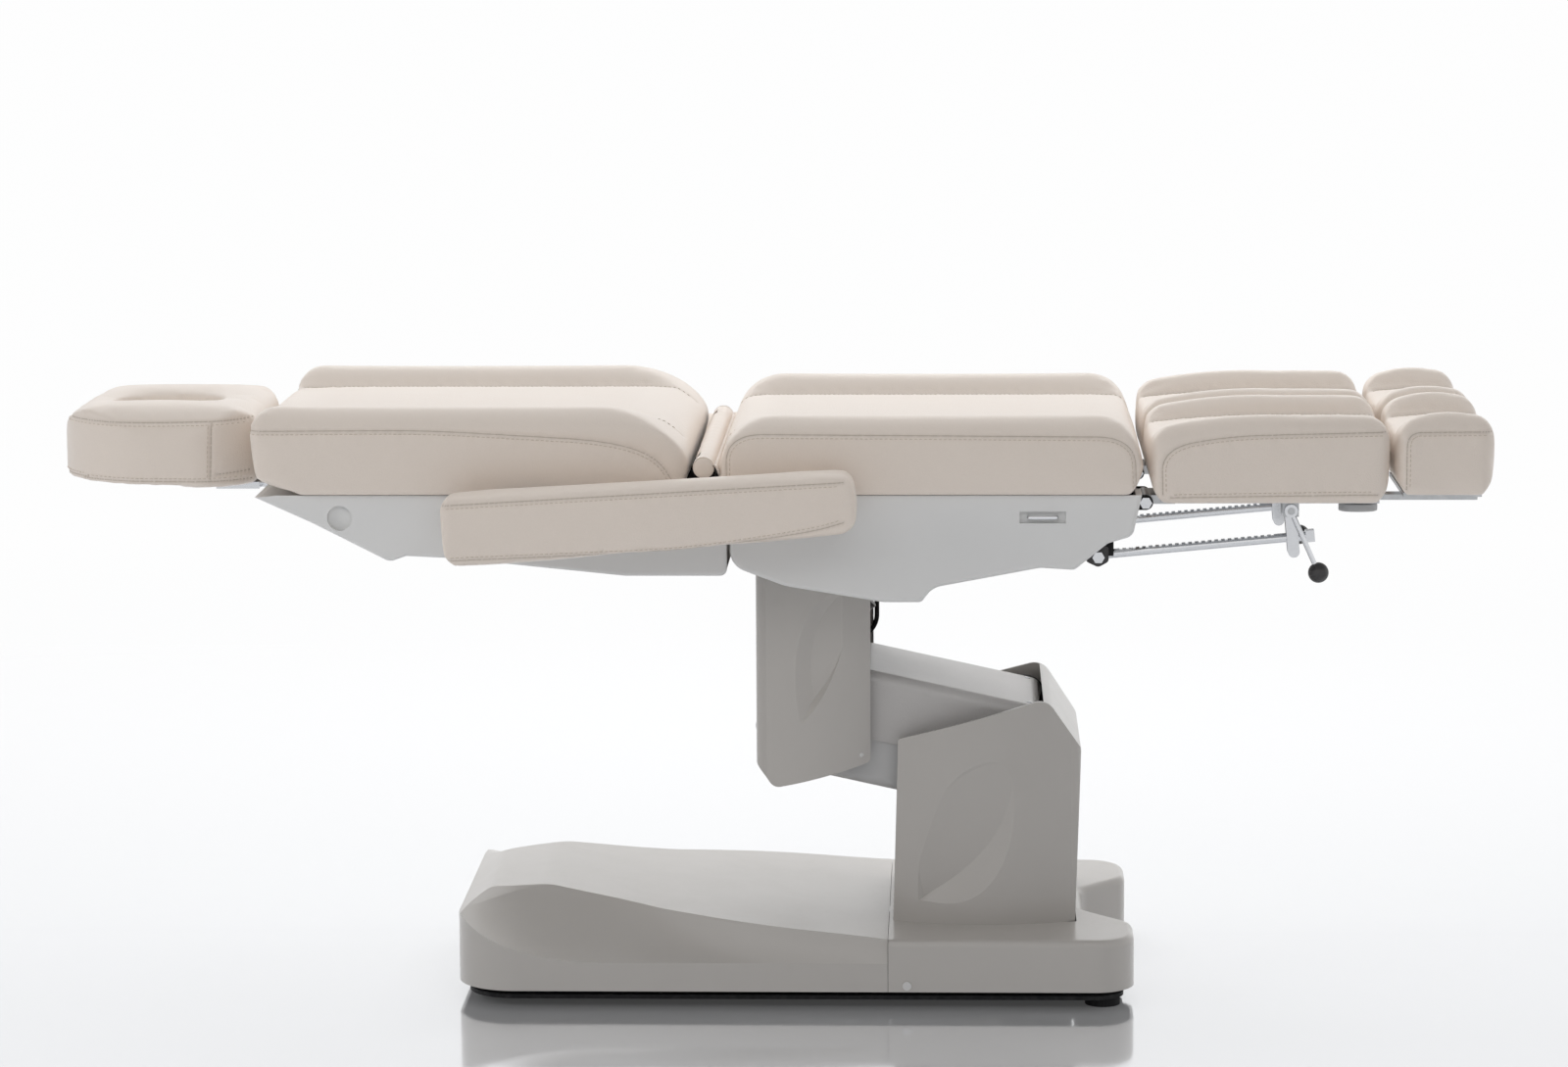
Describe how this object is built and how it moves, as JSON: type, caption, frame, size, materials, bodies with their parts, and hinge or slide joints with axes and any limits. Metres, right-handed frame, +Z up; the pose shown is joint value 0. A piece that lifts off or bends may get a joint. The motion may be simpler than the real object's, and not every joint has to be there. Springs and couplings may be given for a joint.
{
  "type": "pedicure chair",
  "caption": "Padded reclining treatment chair with split leg rests, sliding headrest and level armrests, on a link lift column with tilt, for foot care and beauty treatment.",
  "frame": {"origin": "on the floor, below the middle of the chair's length and width, in the flat position", "axes": "+X to the foot end, -X to the head end, +Z up, the two armrests on -Y and +Y"},
  "size_m": [1.962, 0.764, 0.834],
  "materials": {
    "upholstery": "satin",
    "white_plastic": "satin",
    "grey_plastic": "matte",
    "black_steel": "satin",
    "grey_steel": "satin",
    "chrome": "polished",
    "black_plastic": "matte",
    "rubber": "matte"
  },
  "bodies": {
    "base": {"base_frame": "black_steel", "front_base_cover": "white_plastic", "rear_base_cover": "white_plastic", "base_screws": "chrome", "rubber_feet": "rubber", "lower_post": "black_steel", "lower_column_cover": "white_plastic", "lift_pins": "grey_steel", "control_box": "black_plastic", "mains_inlet": "black_plastic"},
    "lift_arm": {"upper_link": "black_steel", "arm_top_cover": "white_plastic", "arm_bottom_cover": "grey_plastic"},
    "lower_arm": {"lower_link": "black_steel"},
    "upper_column": {"upper_post": "black_steel", "upper_column_cover": "white_plastic", "column_pins": "grey_steel", "column_cable": "rubber"},
    "lift_drive": {"lift_motor": "black_plastic"},
    "lift_ram": {"lift_rod": "chrome"},
    "seat": {"seat_frame": "black_steel", "seat_cushion": "upholstery", "seat_cover": "white_plastic", "tilt_shaft": "grey_steel", "hinge_rod": "grey_steel", "gap_flap": "upholstery", "side_loops": "chrome", "strut_boots": "black_plastic", "leg_bolts": "chrome"},
    "tilt_drive": {"tilt_motor": "black_plastic"},
    "tilt_ram": {"tilt_rod": "chrome"},
    "backrest": {"backrest_frame": "black_steel", "backrest_cushion": "upholstery", "backrest_cover": "white_plastic"},
    "backrest_drive": {"backrest_motor": "black_plastic"},
    "backrest_ram": {"backrest_rod": "chrome"},
    "headrest": {"headrest_cushion": "upholstery", "headrest_bars": "chrome"},
    "armrests": {"armrest_left": "upholstery", "armrest_right": "upholstery", "armrest_shaft": "grey_steel"},
    "armrest_link": {"armrest_tie": "grey_steel"},
    "leg_right": {"leg_cushion_right": "upholstery", "leg_frame_right": "grey_steel"},
    "foot_right": {"foot_cushion_right": "upholstery", "foot_slide_right": "grey_steel"},
    "strut_arm_right": {"strut_right": "chrome"},
    "hanger_right": {"stirrup_right": "chrome"},
    "lever_arm_right": {"lever_right": "chrome", "ball_knob_right": "black_plastic"},
    "lock_right": {"lock_knob_right": "grey_plastic"},
    "leg_left": {"leg_cushion_left": "upholstery", "leg_frame_left": "grey_steel"},
    "foot_left": {"foot_cushion_left": "upholstery", "foot_slide_left": "grey_steel"},
    "strut_arm_left": {"strut_left": "chrome"},
    "hanger_left": {"stirrup_left": "chrome"},
    "lever_arm_left": {"lever_left": "chrome", "ball_knob_left": "black_plastic"},
    "lock_left": {"lock_knob_left": "grey_plastic"}
  },
  "joints": [
    {"name": "lift", "type": "hinge", "parent": "base", "child": "lift_arm", "pos_m": [0.358, 0, 0.363], "axis": [0, 1, 0], "range_deg": [-32.4, 22.6]},
    {"name": "lower_link_turn", "type": "hinge", "parent": "base", "child": "lower_arm", "pos_m": [0.358, 0, 0.273], "axis": [0, 1, 0], "range_deg": [-32.41, 22.61]},
    {"name": "column_level", "type": "hinge", "parent": "lift_arm", "child": "upper_column", "pos_m": [0.06305, 0, 0.42785], "axis": [0, 1, 0], "range_deg": [-22.61, 32.41]},
    {"name": "lift_motor_turn", "type": "hinge", "parent": "base", "child": "lift_drive", "pos_m": [0.37456, 0, 0.17372], "axis": [0, 1, 0], "range_deg": [-16.21, 11.31]},
    {"name": "lift_rod_turn", "type": "hinge", "parent": "lift_arm", "child": "lift_ram", "pos_m": [0.17243, 0, 0.4038], "axis": [0, 1, 0], "range_deg": [-11.31, 16.21]},
    {"name": "tilt", "type": "hinge", "parent": "upper_column", "child": "seat", "pos_m": [0.0395, 0, 0.678], "axis": [0, -1, 0], "range_deg": [0, 20.9]},
    {"name": "tilt_motor_turn", "type": "hinge", "parent": "upper_column", "child": "tilt_drive", "pos_m": [0.0395, 0, 0.498], "axis": [0, -1, 0], "range_deg": [0, 10.46]},
    {"name": "tilt_rod_turn", "type": "hinge", "parent": "seat", "child": "tilt_ram", "pos_m": [0.21557, 0, 0.64058], "axis": [0, -1, 0], "range_deg": [-10.46, 0]},
    {"name": "backrest_raise", "type": "hinge", "parent": "seat", "child": "backrest", "pos_m": [-0.0775, 0, 0.752], "axis": [0, 1, 0], "range_deg": [0, 75]},
    {"name": "backrest_motor_turn", "type": "hinge", "parent": "seat", "child": "backrest_drive", "pos_m": [-0.03404, 0.19, 0.65204], "axis": [0, 1, 0], "range_deg": [0, 37.51]},
    {"name": "backrest_rod_turn", "type": "hinge", "parent": "backrest", "child": "backrest_ram", "pos_m": [-0.161, 0.19, 0.68194], "axis": [0, 1, 0], "range_deg": [-37.51, 0]},
    {"name": "armrest_level", "type": "hinge", "parent": "backrest", "child": "armrests", "pos_m": [-0.3065, 0, 0.7], "axis": [0, 1, 0], "range_deg": [-75.01, 0]},
    {"name": "armrest_tie_turn", "type": "hinge", "parent": "seat", "child": "armrest_link", "pos_m": [-0.1155, -0.253, 0.703], "axis": [0, 1, 0], "range_deg": [0, 75.01]},
    {"name": "headrest_slide", "type": "slide", "parent": "backrest", "child": "headrest", "axis": [-1, 0, 0], "range_m": [0, 0.12]},
    {"name": "leg_lower_right", "type": "hinge", "parent": "seat", "child": "leg_right", "pos_m": [0.518, -0.148, 0.692], "axis": [0, 1, 0], "range_deg": [0, 50]},
    {"name": "strut_turn_right", "type": "hinge", "parent": "seat", "child": "strut_arm_right", "pos_m": [0.455, -0.148, 0.6135], "axis": [0, 1, 0], "range_deg": [0, 42.01]},
    {"name": "hanger_turn_right", "type": "hinge", "parent": "leg_right", "child": "hanger_right", "pos_m": [0.716, -0.148, 0.678], "axis": [0, 1, 0], "range_deg": [-8.01, 0]},
    {"name": "release_lever_right", "type": "hinge", "parent": "leg_right", "child": "lever_arm_right", "pos_m": [0.716, -0.174, 0.678], "axis": [0, 1, 0], "range_deg": [-35, 0]},
    {"name": "foot_slide_right", "type": "slide", "parent": "leg_right", "child": "foot_right", "axis": [1, 0, 0], "range_m": [0, 0.13]},
    {"name": "lock_turn_right", "type": "hinge", "parent": "leg_right", "child": "lock_right", "pos_m": [0.8085, -0.148, 0.68], "axis": [0, 0, 1], "range_deg": [-90, 90]},
    {"name": "leg_lower_left", "type": "hinge", "parent": "seat", "child": "leg_left", "pos_m": [0.518, 0.148, 0.692], "axis": [0, 1, 0], "range_deg": [0, 50]},
    {"name": "strut_turn_left", "type": "hinge", "parent": "seat", "child": "strut_arm_left", "pos_m": [0.455, 0.148, 0.6135], "axis": [0, 1, 0], "range_deg": [0, 42.01]},
    {"name": "hanger_turn_left", "type": "hinge", "parent": "leg_left", "child": "hanger_left", "pos_m": [0.716, 0.148, 0.678], "axis": [0, 1, 0], "range_deg": [-8.01, 0]},
    {"name": "release_lever_left", "type": "hinge", "parent": "leg_left", "child": "lever_arm_left", "pos_m": [0.716, 0.174, 0.678], "axis": [0, 1, 0], "range_deg": [-35, 0]},
    {"name": "foot_slide_left", "type": "slide", "parent": "leg_left", "child": "foot_left", "axis": [1, 0, 0], "range_m": [0, 0.13]},
    {"name": "lock_turn_left", "type": "hinge", "parent": "leg_left", "child": "lock_left", "pos_m": [0.8085, 0.148, 0.68], "axis": [0, 0, 1], "range_deg": [-90, 90]}
  ],
  "couplings": [
    {"joint": "lower_link_turn", "follows": "lift", "ratio": 1},
    {"joint": "column_level", "follows": "lift", "ratio": -1},
    {"joint": "lift_motor_turn", "follows": "lift", "ratio": 0.5},
    {"joint": "lift_rod_turn", "follows": "lift", "ratio": -0.5},
    {"joint": "tilt_motor_turn", "follows": "tilt", "ratio": 0.5},
    {"joint": "tilt_rod_turn", "follows": "tilt", "ratio": -0.5},
    {"joint": "backrest_motor_turn", "follows": "backrest_raise", "ratio": 0.5},
    {"joint": "backrest_rod_turn", "follows": "backrest_raise", "ratio": -0.5},
    {"joint": "armrest_level", "follows": "backrest_raise", "ratio": -1},
    {"joint": "armrest_tie_turn", "follows": "backrest_raise", "ratio": 1},
    {"joint": "strut_turn_right", "follows": "leg_lower_right", "ratio": 0.84},
    {"joint": "hanger_turn_right", "follows": "leg_lower_right", "ratio": -0.16},
    {"joint": "strut_turn_left", "follows": "leg_lower_left", "ratio": 0.84},
    {"joint": "hanger_turn_left", "follows": "leg_lower_left", "ratio": -0.16}
  ]
}
